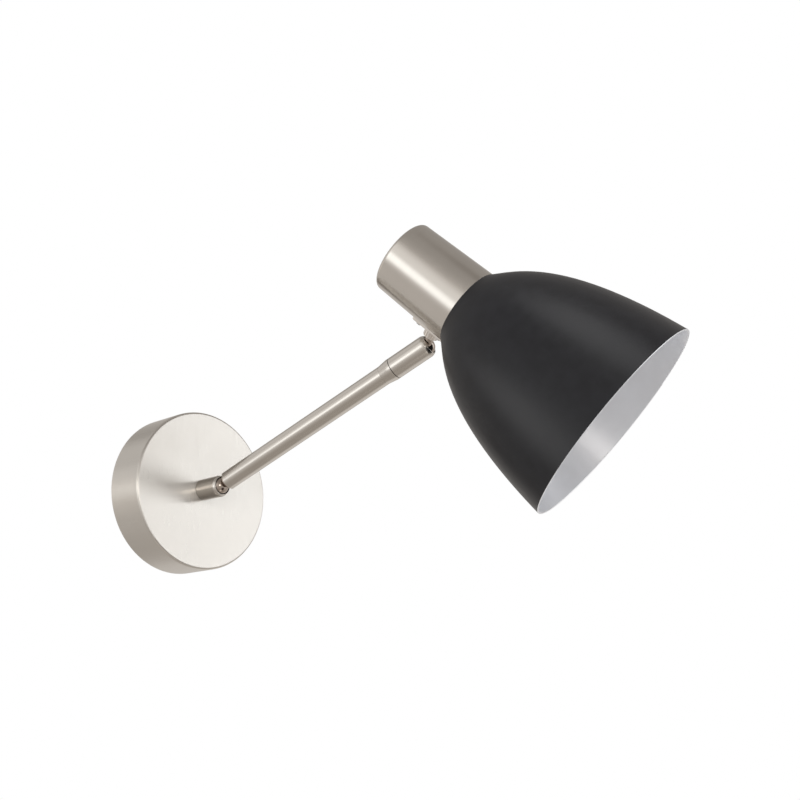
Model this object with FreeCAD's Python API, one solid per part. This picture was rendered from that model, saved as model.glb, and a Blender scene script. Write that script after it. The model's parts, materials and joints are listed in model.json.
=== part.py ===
"""Articulating wall lamp: a round wall plate, an arm between two friction ball joints,
and a bell shade whose nickel cup hides a small screw lampholder.

The row frame has +Z up and its origin at the centre of the wall plate's back face.
The wall is the plane Y = 0 and the lamp reaches out from it along -Y. Millimetres.
"""
import FreeCAD, Part
import math
import os

from FreeCAD import Matrix, Placement, Vector

os.makedirs("parts", exist_ok=True)

# ---------------------------------------------------------------- rest pose (degrees)
arm_swing = 10.5           # arm turned towards +X from straight out of the wall
arm_rise = 23.25           # arm raised above level
head_swing = 34.3          # shade axis turned towards +X
head_droop = 42.4          # shade axis below level
head_roll = 48.0           # ball stem turned about the shade axis, from uppermost

# ---------------------------------------------------------------- wall plate
plate_radius = 51.0
plate_depth = 27.5
plate_wall = 1.2
plate_edge_round = 1.6

# ---------------------------------------------------------------- fits
running_gap = 0.10         # radial gap between a ball or shaft and what it turns in
seating_gap = 0.05         # between a piece and the curved wall that it seats on
hole_gap = 0.25            # radial gap of a clearance hole
thread_gap = 0.05          # between a thread and its tapped hole, both drawn plain
end_gap = 0.05             # between the disc springs and the seat that they press

# ---------------------------------------------------------------- friction ball joint
ball_radius = 5.8
neck_radius = 2.6
stem_bore_radius = 1.7
socket_wall = 0.9
mouth_radius = 5.3
lip_width = 0.4
lip_height = 0.45
crimp_drop = 3.0           # where the crimp starts to curve, below the lip
seat_rim_depth = 2.5       # front edge of the friction seat, behind the ball's centre
seat_depth = 7.5           # back of the friction seat, behind the ball's centre
seat_bore_radius = 2.2
spring_count = 4
spring_height = 1.2
spring_thickness = 0.45
spring_inner_radius = 2.7
spring_side_gap = 0.3
socket_floor = 3.2

# ---------------------------------------------------------------- arm
arm_reach = 165.0          # from ball centre to ball centre
tube_radius = 6.0
tube_wall = 1.0
tube_end_chamfer = 0.3
collar_radius = 5.1
collar_thickness = 0.8
collar_stand_off = 0.7     # bare neck between the ball's surface and the collar
shank_radius = 4.0
shank_length = 9.0
bush_length = 11.0
head_socket_length = 26.1  # from the seam to the lip
sleeve_taper = 6.0
sleeve_land = 2.0
sleeve_spigot = 10.0
wire_way_radius = 2.5

# ---------------------------------------------------------------- ball stem at the head
stem_radius = 3.0
stem_stand_off = 16.9      # from the ball's centre to the cup's side
stem_neck_length = 2.4
collar_nut_radius = 4.9
collar_nut_height = 7.2
collar_nut_groove_count = 18
collar_nut_groove_depth = 0.35
collar_nut_chamfer = 0.7
saddle_length = 24.4       # along the cup
saddle_width = 16.0
saddle_thickness = 1.0
saddle_corner = 1.5
saddle_screw_along = 7.4   # from the stem, along the cup
saddle_screw_across = 5.9
saddle_screw_radius = 1.0
saddle_screw_length = 4.2
saddle_screw_head_radius = 1.8
saddle_screw_head_height = 0.9
stem_nut_flats = 10.0
stem_nut_height = 3.0

# ---------------------------------------------------------------- cup and lampholder
cup_length = 50.5
cup_mouth_radius = 23.2
cup_end_radius = 22.1
cup_wall = 1.0
cup_end_thickness = 1.2
cup_edge_round = 2.0
stem_height = 12.8         # ball stem above the cup's mouth
holder_bracket_width = 9.5
holder_bracket_eye = 8.0   # radius of the strip's round end about the nipple
holder_bracket_thickness = 1.5
holder_bracket_foot = 3.0  # lower end of the bracket above the cup's mouth
holder_bracket_side = 2.2  # thickness of the bracket behind the stem nut
holder_sleeve_radius = 14.0
holder_sleeve_drop = 22.0
holder_sleeve_bore = 9.5
holder_lip = 1.0           # thickness of the lip inside the skirt's lower end
holder_mouth_radius = 8.6
holder_flange_radius = 16.5
holder_flange_height = 2.4
holder_spigot_radius = 11.6
holder_spigot_height = 8.5
insert_radius = 10.6
insert_height = 7.5
insert_neck_radius = 7.0
insert_neck_height = 1.0
holder_cap_radius = 12.9
holder_cap_shoulder = 26.0
holder_cap_chamber = 25.0
holder_cap_taper = 2.0     # the cap's bore narrows from this far below its shoulder
holder_crown_radius = 8.5
holder_crown_height = 6.0
holder_terminal_offset = 7.4
holder_terminal_radius = 1.8
holder_terminal_height = 2.6
lamp_thread_radius = 7.0
screw_shell_wall = 0.4
screw_shell_pitch = 2.8
screw_shell_turns = 5
screw_shell_land = 1.2     # flat crest between two rounded roots
screw_shell_root = 0.35    # depth of the rounded roots
screw_shell_neck = 3.8     # plain wider neck above the thread, round the contact
contact_radius = 2.4
contact_height = 2.0
nipple_radius = 5.0
nipple_bore_radius = 3.4
holder_nipple_length = 11.0
holder_nipple_reach = 5.0  # thread held in the holder's crown
locknut_flats = 14.0
locknut_height = 3.0

# ---------------------------------------------------------------- shade
shade_depth = 103.0
shade_rim_radius = 62.2
shade_wall = 1.0
shade_rim_bulge = 0.3      # how far the rim's rounded edge stands out, of the wall
shade_skirt_handle = 79.8
shade_skirt_angle = 6.0
shade_shoulder_handle = 11.7
shade_shoulder_angle = 37.6
ring_radius = 20.5
ring_height = 4.2
ring_step_radius = 17.5
ring_step_height = 1.8
ring_notch_count = 12
ring_notch_radius = 1.1

# ---------------------------------------------------------------- wall bracket and wiring
bracket_span = 84.0
bracket_width = 20.0
bracket_thickness = 2.0
bracket_rise = 12.0        # front face of the raised bridge, from the wall
bridge_half = 13.0
foot_inner = 24.0          # where the foot meets the wall, from the centre
wall_screw_spacing = 70.0
wall_hole_radius = 2.5
block_lug_width = 16.0
block_lug_reach = 34.0
earth_lug_width = 12.0
earth_lug_reach = 24.0
wall_nipple_tail = 5.5     # nipple behind the bracket's rear face
wall_nut_flats = 14.0
wall_nut_height = 4.0
block_pole_pitch = 9.0
block_pole_count = 3
block_length = 17.0
block_height = 11.5
block_shoulder = 6.4
block_tower_width = 6.4
block_bottom = 15.0        # lower end of the block above the centre
terminal_radius = 2.3
terminal_cover = 0.8
terminal_bore_radius = 1.5
terminal_inset = 1.0
terminal_screw_radius = 1.4
terminal_screw_inset = 4.2
block_screw_radius = 1.5
block_screw_head_radius = 2.6
block_screw_head_height = 1.6
earth_screw_radius = 2.0
earth_screw_length = 8.0
earth_head_radius = 3.8
earth_head_height = 2.6
earth_washer_radius = 4.6
earth_washer_thickness = 0.8
wire_radius = 0.75
wire_spacing = 1.7         # centre to centre of the pair
wire_bend_radius = 2.0
wire_bend_share = 0.45     # of the shorter run, where the bend radius won't fit
wire_ball_gap = 1.0        # the wire pairs stop this far from a ball's surface

# ---------------------------------------------------------------- worked-out sizes
socket_bore_radius = ball_radius + running_gap
socket_radius = socket_bore_radius + socket_wall
lip_base = math.sqrt(socket_bore_radius ** 2 - mouth_radius ** 2)
lip_top = lip_base + lip_height
spring_stack = spring_count * spring_height
spring_seat_depth = seat_depth + end_gap + spring_stack + end_gap
spring_radius = socket_bore_radius - spring_side_gap
wall_socket_depth = spring_seat_depth + socket_floor
collar_start = ball_radius + collar_stand_off
tube_start = collar_start + collar_thickness
seam_station = arm_reach + lip_top - head_socket_length
sleeve_start = seam_station - sleeve_land - sleeve_taper
tube_bore_radius = tube_radius - tube_wall
cup_inner_mouth = cup_mouth_radius - cup_wall
stem_nut_face = -(cup_mouth_radius - cup_wall - holder_bracket_side)
land_radius = holder_sleeve_radius + hole_gap
strip_height = holder_cap_shoulder + holder_crown_height
CUT_PAST = 1.0             # a cutter runs this far past what it cuts
TOUCHING = 1e-7            # points nearer than this are the same point
X_AXIS = Vector(1, 0, 0)
Y_AXIS = Vector(0, 1, 0)
Z_AXIS = Vector(0, 0, 1)
ORIGIN = Vector(0, 0, 0)
FULL_TURN = 360.0


def cup_radius(height):
    """Outer radius of the gently tapered cup, at a height above its mouth."""
    return cup_mouth_radius + (cup_end_radius - cup_mouth_radius) * height / cup_length


# ---------------------------------------------------------------- frames
def direction(swing, rise):
    """A unit vector out of the wall, swung towards +X and raised, in degrees."""
    turn = math.radians(swing)
    lift = math.radians(rise)
    return Vector(math.sin(turn) * math.cos(lift), -math.cos(turn) * math.cos(lift), math.sin(lift))


def frame_at(origin, z_axis, x_hint):
    """The placement whose local Z is z_axis, with local X as near x_hint as that allows."""
    z_dir = Vector(z_axis).normalize()
    x_dir = (x_hint - z_dir * x_hint.dot(z_dir)).normalize()
    y_dir = z_dir.cross(x_dir)
    return Placement(Matrix(
        x_dir.x, y_dir.x, z_dir.x, origin.x,
        x_dir.y, y_dir.y, z_dir.y, origin.y,
        x_dir.z, y_dir.z, z_dir.z, origin.z,
        0, 0, 0, 1))


def placed(shape, frame):
    """A copy of a shape drawn in a local frame, moved to its place in the lamp."""
    copy = shape.copy()
    copy.transformShape(frame.toMatrix(), True)
    return copy


out_of_wall = Vector(0, -1, 0)
arm_direction = direction(arm_swing, arm_rise)
head_axis = direction(head_swing, -head_droop)
wall_ball_centre = Vector(0, -(plate_depth + wall_socket_depth), 0)
head_ball_centre = wall_ball_centre + arm_direction * arm_reach
head_uppermost = (Z_AXIS - head_axis * Z_AXIS.dot(head_axis)).normalize()
head_side = head_axis.cross(head_uppermost)
roll = math.radians(head_roll)
stem_direction = head_uppermost * math.cos(roll) + head_side * math.sin(roll)
cup_offset = stem_stand_off + cup_radius(stem_height)
cup_mouth_centre = head_ball_centre + stem_direction * cup_offset + head_axis * stem_height

wall_frame = frame_at(ORIGIN, out_of_wall, X_AXIS)              # Z out of the wall
wall_joint_frame = frame_at(wall_ball_centre, out_of_wall, X_AXIS)
arm_frame = frame_at(wall_ball_centre, arm_direction, X_AXIS)
arm_tip_frame = frame_at(head_ball_centre, arm_direction, X_AXIS)
stem_frame = frame_at(head_ball_centre, stem_direction, head_axis)
cup_frame = frame_at(cup_mouth_centre, -head_axis, stem_direction)  # the ball is at -X


# ---------------------------------------------------------------- drawing helpers
class Outline:
    """A closed profile in the (radius, height) half-plane, revolved about local Z."""

    def __init__(self, radius, height):
        self.first = Vector(radius, 0, height)
        self.last = self.first
        self.edges = []

    def line(self, radius, height):
        end = Vector(radius, 0, height)
        self.edges.append(Part.LineSegment(self.last, end).toShape())
        self.last = end
        return self

    def arc(self, mid_radius, mid_height, radius, height):
        end = Vector(radius, 0, height)
        self.edges.append(Part.Arc(self.last, Vector(mid_radius, 0, mid_height), end).toShape())
        self.last = end
        return self

    def round_in(self, radius, height):
        """An arc that leaves the last point along the axis and ends further in."""
        inward = self.last.x - radius
        upward = height - self.last.z
        bend = (inward ** 2 + upward ** 2) / (2 * inward)
        halfway = math.atan2(upward, bend - inward) / 2
        return self.arc(self.last.x - bend * (1 - math.cos(halfway)),
                        self.last.z + bend * math.sin(halfway), radius, height)

    def curve(self, *points):
        poles = [self.last] + [Vector(radius, 0, height) for radius, height in points]
        bezier = Part.BezierCurve()
        bezier.setPoles(poles)
        self.edges.append(bezier.toShape())
        self.last = poles[-1]
        return self

    def turned(self):
        if (self.last - self.first).Length > TOUCHING:
            self.edges.append(Part.LineSegment(self.last, self.first).toShape())
        face = Part.Face(Part.Wire(self.edges))
        return face.revolve(ORIGIN, Z_AXIS, FULL_TURN)


def ring_solid(outer, inner, low, high):
    """A plain tube or washer about local Z."""
    return Outline(inner, low).line(outer, low).line(outer, high).line(inner, high).turned()


def rod(radius, low, high):
    """A plain cylinder about local Z."""
    return Part.makeCylinder(radius, high - low, Vector(0, 0, low))


def arc_middle(radius, start_degrees, end_degrees):
    """The middle of an arc about the local origin, as (radius, height)."""
    middle = math.radians((start_degrees + end_degrees) / 2)
    return radius * math.cos(middle), radius * math.sin(middle)


def hex_nut(flats, bore, low, height):
    """A chamfered hexagon nut about local Z; bore is its thread's radius."""
    corner = flats / math.sqrt(3)
    points = []
    for index in range(7):
        angle = math.radians(60 * index)
        points.append(Vector(corner * math.cos(angle), corner * math.sin(angle), low))
    prism = Part.Face(Part.makePolygon(points)).extrude(Vector(0, 0, height))
    crown = corner - flats / 2
    high = low + height
    blank = (Outline(0, low).line(flats / 2, low).line(corner, low + crown / 2)
             .line(corner, high - crown / 2).line(flats / 2, high).line(0, high).turned())
    return prism.common(blank).cut(rod(bore + thread_gap, low - CUT_PAST, high + CUT_PAST))


def smooth_path(points):
    """Straight runs joined by tangent arcs of the wire's bend radius."""
    edges = []
    start = points[0]
    for before, corner, after in zip(points, points[1:], points[2:]):
        come = (corner - before).normalize()
        go = (after - corner).normalize()
        turn = come.getAngle(go)
        shorter = min((corner - before).Length, (after - corner).Length)
        setback = min(wire_bend_radius * math.tan(turn / 2), wire_bend_share * shorter)
        radius = setback / math.tan(turn / 2)
        arc_start = corner - come * setback
        arc_end = corner + go * setback
        inward = (go - come).normalize()
        centre = corner + inward * (radius / math.cos(turn / 2))
        middle = centre - inward * radius
        edges.append(Part.LineSegment(start, arc_start).toShape())
        edges.append(Part.Arc(arc_start, middle, arc_end).toShape())
        start = arc_end
    edges.append(Part.LineSegment(start, points[-1]).toShape())
    return Part.Wire(edges)


def wire_along(points):
    """One round insulated wire along a route."""
    path = smooth_path(points)
    tangent = points[1] - points[0]
    section = Part.Wire(Part.makeCircle(wire_radius, points[0], tangent))
    return path.makePipeShell([section], True, False)


def wire_pair(route):
    """Two wires side by side; route gives the points for a side of -1 or +1."""
    return Part.makeCompound([wire_along(route(side)) for side in (-1, 1)])


# ---------------------------------------------------------------- friction ball joint
def socket_shell(depth, base_bore):
    """A tube socket crimped over the ball; its foot is `depth` behind the ball's centre."""
    lip_angle = math.degrees(math.asin(lip_base / socket_bore_radius))
    mid_radius, mid_height = arc_middle(socket_bore_radius, 0, lip_angle)
    crimp_start = lip_top - crimp_drop
    outline = Outline(base_bore, -depth).line(socket_radius, -depth).line(socket_radius, crimp_start)
    outline.round_in(mouth_radius + lip_width, lip_top)
    outline.line(mouth_radius, lip_base).arc(mid_radius, mid_height, socket_bore_radius, 0)
    return outline


def wall_socket():
    """The stub on the wall plate, tapped for the nipple in its foot."""
    tapped = nipple_radius + thread_gap
    outline = socket_shell(wall_socket_depth, tapped)
    outline.line(socket_bore_radius, -spring_seat_depth).line(tapped, -spring_seat_depth)
    return placed(outline.turned(), wall_joint_frame)


def head_socket():
    """The socket at the arm's tip, open behind for the taper sleeve's spigot."""
    depth = head_socket_length - lip_top
    return placed(socket_shell(depth, socket_bore_radius).turned(), arm_tip_frame)


def friction_seat():
    """The cup that presses on the back of the ball, bored for the wires."""
    outer = socket_bore_radius - running_gap
    recess = ball_radius + running_gap
    rim = math.sqrt(recess ** 2 - seat_rim_depth ** 2)
    floor = math.sqrt(recess ** 2 - seat_bore_radius ** 2)
    rim_angle = -math.degrees(math.asin(seat_rim_depth / recess))
    floor_angle = -math.degrees(math.asin(floor / recess))
    mid_radius, mid_height = arc_middle(recess, rim_angle, floor_angle)
    outline = Outline(seat_bore_radius, -seat_depth).line(outer, -seat_depth)
    outline.line(outer, -seat_rim_depth).line(rim, -seat_rim_depth)
    return outline.arc(mid_radius, mid_height, seat_bore_radius, -floor).turned()


def disc_spring(low, cup_up):
    """One conical spring washer; alternate ones are turned over."""
    high = low + spring_height
    if cup_up:
        outer_low, inner_low = high - spring_thickness, low
    else:
        outer_low, inner_low = low, high - spring_thickness
    outline = Outline(spring_inner_radius, inner_low).line(spring_radius, outer_low)
    outline.line(spring_radius, outer_low + spring_thickness)
    return outline.line(spring_inner_radius, inner_low + spring_thickness).turned()


def disc_springs():
    """The stack that keeps the seat pressed on the ball."""
    lowest = -(spring_seat_depth - end_gap)
    discs = []
    for index in range(spring_count):
        discs.append(disc_spring(lowest + index * spring_height, index % 2 == 0))
    return Part.makeCompound(discs)


def bored_ball(stem_outline):
    """A polished ball with its neck and stem turned from one bar, and bored for the wires."""
    neck_foot = math.sqrt(ball_radius ** 2 - neck_radius ** 2)
    bore_mouth = math.sqrt(ball_radius ** 2 - stem_bore_radius ** 2)
    neck_angle = math.degrees(math.asin(neck_foot / ball_radius))
    bore_angle = -math.degrees(math.asin(bore_mouth / ball_radius))
    mid_radius, mid_height = arc_middle(ball_radius, bore_angle, neck_angle)
    outline = Outline(stem_bore_radius, -bore_mouth).arc(mid_radius, mid_height, neck_radius, neck_foot)
    for radius, height in stem_outline:
        outline.line(radius, height)
    outline.line(stem_bore_radius, stem_outline[-1][1])
    return outline.turned()


# ---------------------------------------------------------------- arm
def arm_ball():
    """Ball, neck, polished collar and threaded shank at the arm's wall end."""
    shank_end = tube_start + shank_length
    stem = [(neck_radius, collar_start), (collar_radius, collar_start), (collar_radius, tube_start),
            (shank_radius, tube_start), (shank_radius, shank_end)]
    return placed(bored_ball(stem), arm_frame)


def arm_end_bush():
    """The tapped bush fixed in the tube's wall end."""
    bush = ring_solid(tube_bore_radius - seating_gap, shank_radius + thread_gap,
                      tube_start, tube_start + bush_length)
    return placed(bush, arm_frame)


def arm_tube():
    """The plain round arm."""
    outline = Outline(tube_bore_radius, tube_start).line(tube_radius - tube_end_chamfer, tube_start)
    outline.line(tube_radius, tube_start + tube_end_chamfer).line(tube_radius, sleeve_start)
    return placed(outline.line(tube_bore_radius, sleeve_start).turned(), arm_frame)


def arm_taper_sleeve():
    """The conical sleeve that widens the arm to the head socket, with a spigot each way."""
    spigot_end = arm_reach - spring_seat_depth
    tube_spigot = tube_bore_radius - seating_gap
    socket_spigot = socket_bore_radius - seating_gap
    outline = Outline(wire_way_radius, sleeve_start - sleeve_spigot)
    outline.line(tube_spigot, sleeve_start - sleeve_spigot).line(tube_spigot, sleeve_start)
    outline.line(tube_radius, sleeve_start).line(socket_radius, sleeve_start + sleeve_taper)
    outline.line(socket_radius, seam_station).line(socket_spigot, seam_station)
    outline.line(socket_spigot, spigot_end).line(wire_way_radius, spigot_end)
    return placed(outline.turned(), arm_frame)


def arm_wires():
    """The wire pair inside the arm, from the wall ball's bore to the back of the head ball."""
    low = wire_ball_gap - ball_radius
    high = arm_reach - ball_radius - wire_ball_gap
    wires = []
    for side in (-1, 1):
        wires.append(rod(wire_radius, low, high).translate(Vector(side * wire_spacing / 2, 0, 0)))
    return placed(Part.makeCompound(wires), arm_frame)


# ---------------------------------------------------------------- ball stem at the head
nut_bearing = cup_offset + stem_nut_face          # stem nut's face, from the ball's centre
stem_end = nut_bearing + stem_nut_height
saddle_face = stem_stand_off - saddle_thickness   # outer flat face of the saddle plate


def head_ball():
    """Ball and bored stem that carry the cup."""
    neck_end = ball_radius + stem_neck_length
    stem = [(neck_radius, neck_end), (stem_radius, neck_end), (stem_radius, stem_end)]
    return placed(bored_ball(stem), stem_frame)


def stem_collar_nut():
    """The tall serrated nut between the ball and the saddle plate."""
    low = saddle_face - collar_nut_height
    bore = stem_radius + thread_gap
    outline = Outline(bore, low).line(collar_nut_radius - collar_nut_chamfer, low)
    outline.line(collar_nut_radius, low + collar_nut_chamfer)
    nut = outline.line(collar_nut_radius, saddle_face).line(bore, saddle_face).turned()
    groove = Part.makeBox(2 * collar_nut_groove_depth, 2 * collar_nut_groove_depth, collar_nut_height)
    groove.translate(Vector(-collar_nut_groove_depth, -collar_nut_groove_depth, low))
    groove.rotate(ORIGIN, Z_AXIS, FULL_TURN / 8)
    groove.translate(Vector(collar_nut_radius, 0, 0))
    grooves = []
    for index in range(collar_nut_groove_count):
        copy = groove.copy()
        copy.rotate(ORIGIN, Z_AXIS, FULL_TURN * index / collar_nut_groove_count)
        grooves.append(copy)
    return placed(nut.cut(Part.makeCompound(grooves)), stem_frame)


def stem_nut():
    """The hexagon nut inside the cup."""
    return placed(hex_nut(stem_nut_flats, stem_radius, nut_bearing, stem_nut_height), stem_frame)


def stem_wires():
    """The wire pair in the bore of the head's ball stem."""
    wires = []
    for side in (-1, 1):
        wire = rod(wire_radius, wire_ball_gap - ball_radius, stem_end)
        wires.append(wire.translate(Vector(0, side * wire_spacing / 2, 0)))
    return placed(Part.makeCompound(wires), stem_frame)


# ---------------------------------------------------------------- cup and what it holds
def cup_body(inset, low, high):
    """A solid of the cup's taper, set in from its outside."""
    return (Outline(0, low).line(cup_radius(low) - inset, low).line(cup_radius(high) - inset, high)
            .line(0, high).turned())


def stem_hole(radius):
    """The cutter for the ball stem's hole through the cup's side."""
    return Part.makeCylinder(radius, cup_offset, Vector(-cup_offset, 0, stem_height), X_AXIS)


def holder_cup():
    """The gently tapered nickel cup, closed at the back."""
    end_inner = cup_length - cup_end_thickness
    outline = Outline(cup_inner_mouth, 0).line(cup_mouth_radius, 0)
    side_end = cup_length - cup_edge_round
    outline.line(cup_radius(side_end), side_end)
    outline.round_in(cup_radius(side_end) - cup_edge_round, cup_length)
    outline.line(0, cup_length).line(0, end_inner).line(cup_radius(end_inner) - cup_wall, end_inner)
    cup = outline.turned().cut(stem_hole(stem_radius + running_gap))
    for along, across in saddle_screw_places():
        cup = cup.cut(Part.makeCylinder(saddle_screw_radius + thread_gap, cup_mouth_radius,
                                        Vector(-cup_offset, across, along), X_AXIS))
    return placed(cup, cup_frame)


def saddle_screw_places():
    """The middle of each saddle screw, as (along the cup from its mouth, across)."""
    return [(stem_height + along * saddle_screw_along, across * saddle_screw_across)
            for along in (-1, 1) for across in (-1, 1)]


def saddle_plate():
    """The oblong plate that beds on the cup's round side and gives the stem a flat face."""
    face = -(cup_offset - saddle_face)
    depth = cup_mouth_radius / 2
    blank = Part.makeBox(depth, saddle_width, saddle_length,
                         Vector(face, -saddle_width / 2, stem_height - saddle_length / 2))
    corners = [edge for edge in blank.Edges
               if edge.tangentAt(edge.FirstParameter).cross(X_AXIS).Length < TOUCHING]
    blank = blank.makeFillet(saddle_corner, corners)
    plate = blank.cut(cup_body(-seating_gap, 0, cup_length)).cut(stem_hole(stem_radius + running_gap))
    for along, across in saddle_screw_places():
        plate = plate.cut(Part.makeCylinder(saddle_screw_radius + seating_gap, 2 * depth,
                                            Vector(face - CUT_PAST, across, along), X_AXIS))
    return placed(plate, cup_frame)


def saddle_screws():
    """Four slotted cheese-head screws through the plate into the cup."""
    face = -(cup_offset - saddle_face)
    screws = []
    for along, across in saddle_screw_places():
        screw = headed_screw(saddle_screw_radius, saddle_screw_head_radius, saddle_screw_head_height,
                             -saddle_screw_length, 0)
        screws.append(placed(screw, frame_at(Vector(face, across, along), -X_AXIS, Y_AXIS)))
    return placed(Part.makeCompound(screws), cup_frame)


def holder_bracket():
    """The bent strip that the stem nut clamps in the cup, and that carries the lampholder."""
    half = holder_bracket_width / 2
    top = strip_height + holder_bracket_thickness
    leg = Part.makeBox(cup_mouth_radius + stem_nut_face, holder_bracket_width, top - holder_bracket_foot,
                       Vector(-cup_mouth_radius, -half, holder_bracket_foot))
    strip = Part.makeBox(cup_mouth_radius, holder_bracket_width, holder_bracket_thickness,
                         Vector(-cup_mouth_radius, -half, strip_height))
    eye = rod(holder_bracket_eye, strip_height, top)
    bent = leg.fuse(strip).fuse(eye)
    inside = cup_body(cup_wall + seating_gap, 0, cup_length)
    bent = bent.common(inside).cut(stem_hole(stem_radius + running_gap))
    hole = rod(nipple_radius + running_gap, strip_height - CUT_PAST, top + CUT_PAST)
    return placed(bent.cut(hole).removeSplitter(), cup_frame)


def holder_nipple():
    """The short hollow threaded nipple between the bracket and the lampholder."""
    low = strip_height - holder_nipple_reach
    nipple = ring_solid(nipple_radius, nipple_bore_radius, low, low + holder_nipple_length)
    return placed(nipple, cup_frame)


def holder_locknut():
    """The nut that holds the nipple to the bracket."""
    low = strip_height + holder_bracket_thickness
    return placed(hex_nut(locknut_flats, nipple_radius, low, locknut_height), cup_frame)


shell_outer_radius = lamp_thread_radius + screw_shell_wall
shell_bottom = -(screw_shell_neck + screw_shell_turns * screw_shell_pitch + screw_shell_land)


def lampholder_body():
    """The moulded skirt that takes the shade ring, with its flange and the cap's spigot."""
    outline = Outline(holder_mouth_radius, -holder_sleeve_drop)
    outline.line(holder_sleeve_radius, -holder_sleeve_drop).line(holder_sleeve_radius, 0)
    outline.line(holder_flange_radius, 0).line(holder_flange_radius, holder_flange_height)
    outline.line(holder_spigot_radius, holder_flange_height)
    outline.line(holder_spigot_radius, holder_spigot_height).line(insert_radius, holder_spigot_height)
    outline.line(insert_radius, 0).line(holder_sleeve_bore, 0)
    outline.line(holder_sleeve_bore, holder_lip - holder_sleeve_drop)
    return placed(outline.line(holder_mouth_radius, holder_lip - holder_sleeve_drop).turned(), cup_frame)


def lampholder_cap():
    """The domed cap that screws over the body and takes the nipple in its crown."""
    tapped = holder_spigot_radius + thread_gap
    outline = Outline(tapped, holder_flange_height)
    outline.line(holder_cap_radius, holder_flange_height).line(holder_cap_radius, holder_cap_shoulder)
    outline.round_in(holder_crown_radius, strip_height)
    entry = nipple_radius + thread_gap
    outline.line(entry, strip_height).line(entry, holder_cap_chamber)
    outline.line(holder_crown_radius, holder_cap_chamber)
    return placed(outline.line(tapped, holder_cap_shoulder - holder_cap_taper).turned(), cup_frame)


def holder_insert():
    """The insulating insert with its two terminals' seats, over the screw shell."""
    outer = insert_radius - running_gap
    outline = Outline(0, 0).line(outer, 0)
    outline.line(outer, insert_height).line(insert_neck_radius, insert_height)
    outline.line(insert_neck_radius, insert_height + insert_neck_height)
    outline.line(0, insert_height + insert_neck_height)
    insert = outline.turned()
    for side in (-1, 1):
        seat = Part.makeCylinder(holder_terminal_radius + hole_gap, insert_height,
                                 Vector(0, side * holder_terminal_offset, insert_height / 2))
        insert = insert.cut(seat)
    return placed(insert, cup_frame)


def holder_terminals():
    """The two brass terminal screws in the insert."""
    low = insert_height / 2
    high = insert_height + holder_terminal_height
    screws = []
    for side in (-1, 1):
        centre = Vector(0, side * holder_terminal_offset, low)
        screw = Part.makeCylinder(holder_terminal_radius, high - low, centre)
        slot = Part.makeBox(holder_terminal_radius / 2, 2 * holder_terminal_radius, terminal_inset,
                            Vector(-holder_terminal_radius / 4,
                                   side * holder_terminal_offset - holder_terminal_radius,
                                   high - terminal_inset))
        screws.append(screw.cut(slot))
    return placed(Part.makeCompound(screws), cup_frame)


def shell_turn(index):
    """One turn of the shell's thread, as the heights of its root's start, middle and end."""
    end = shell_bottom + index * screw_shell_pitch
    start = end - screw_shell_pitch + screw_shell_land
    return start, (start + end) / 2, end


def screw_shell():
    """The rolled screw shell for the lamp: flat crests with rounded roots between them."""
    outline = Outline(lamp_thread_radius, shell_bottom)
    for index in range(1, screw_shell_turns + 1):
        start, middle, end = shell_turn(index)
        outline.line(lamp_thread_radius, start)
        outline.arc(lamp_thread_radius + screw_shell_root, middle, lamp_thread_radius, end)
    outline.line(lamp_thread_radius, -screw_shell_neck).line(shell_outer_radius, -screw_shell_neck)
    neck_radius_outside = shell_outer_radius + screw_shell_wall
    outline.line(shell_outer_radius, 0).line(neck_radius_outside, 0)
    outline.line(neck_radius_outside, -screw_shell_neck - screw_shell_wall)
    outline.line(shell_outer_radius, -screw_shell_neck - screw_shell_wall)
    for index in range(screw_shell_turns, 0, -1):
        start, middle, end = shell_turn(index)
        outline.line(shell_outer_radius, end)
        outline.arc(shell_outer_radius + screw_shell_root, middle, shell_outer_radius, start)
    return placed(outline.line(shell_outer_radius, shell_bottom).turned(), cup_frame)


def lamp_contact():
    """The domed spring contact on the underside of the insert."""
    low = -spring_thickness
    disc = rod(lamp_thread_radius - 2 * screw_shell_wall, low, 0)
    outline = Outline(0, -contact_height - contact_radius / 2)
    outline.line(contact_radius / 2, -contact_height - contact_radius / 2)
    outline.line(contact_radius, -contact_height).line(contact_radius, low).line(0, low)
    return placed(disc.fuse(outline.turned()), cup_frame)


def cup_wires():
    """The wire pair from the ball stem, past the bracket and down the nipple to the holder."""
    start_x = stem_nut_face + stem_nut_height
    passing = holder_bracket_width / 2 + 4 * wire_radius
    turning = (start_x - holder_cap_radius) / 2
    above = strip_height + holder_nipple_length

    def route(side):
        half = side * wire_spacing / 2
        return [Vector(start_x + running_gap, half, stem_height),
                Vector(turning, half, stem_height),
                Vector(turning, side * passing, stem_height + 4 * wire_radius),
                Vector(turning, side * passing, above),
                Vector(0, half, above + wire_radius),
                Vector(0, half, holder_cap_chamber - wire_bend_radius),
                Vector(0, side * holder_terminal_offset, insert_height + 2 * holder_terminal_height),
                Vector(0, side * holder_terminal_offset, insert_height + holder_terminal_height)]

    return placed(wire_pair(route), cup_frame)


# ---------------------------------------------------------------- shade
def bell_curve(inset):
    """Poles of the shade's profile from the shoulder to the rim, set in by a wall."""
    skirt = math.radians(shade_skirt_angle)
    shoulder = math.radians(shade_shoulder_angle)
    neck_radius_here = cup_mouth_radius - inset * math.tan(shoulder / 2)
    neck = (neck_radius_here, -inset)
    rim = (shade_rim_radius - inset / math.cos(skirt), -shade_depth)
    shoulder_pole = (neck[0] + shade_shoulder_handle * math.sin(shoulder),
                     neck[1] - shade_shoulder_handle * math.cos(shoulder))
    skirt_pole = (rim[0] - shade_skirt_handle * math.sin(skirt),
                  rim[1] + shade_skirt_handle * math.cos(skirt))
    return neck, shoulder_pole, skirt_pole, rim


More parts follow.
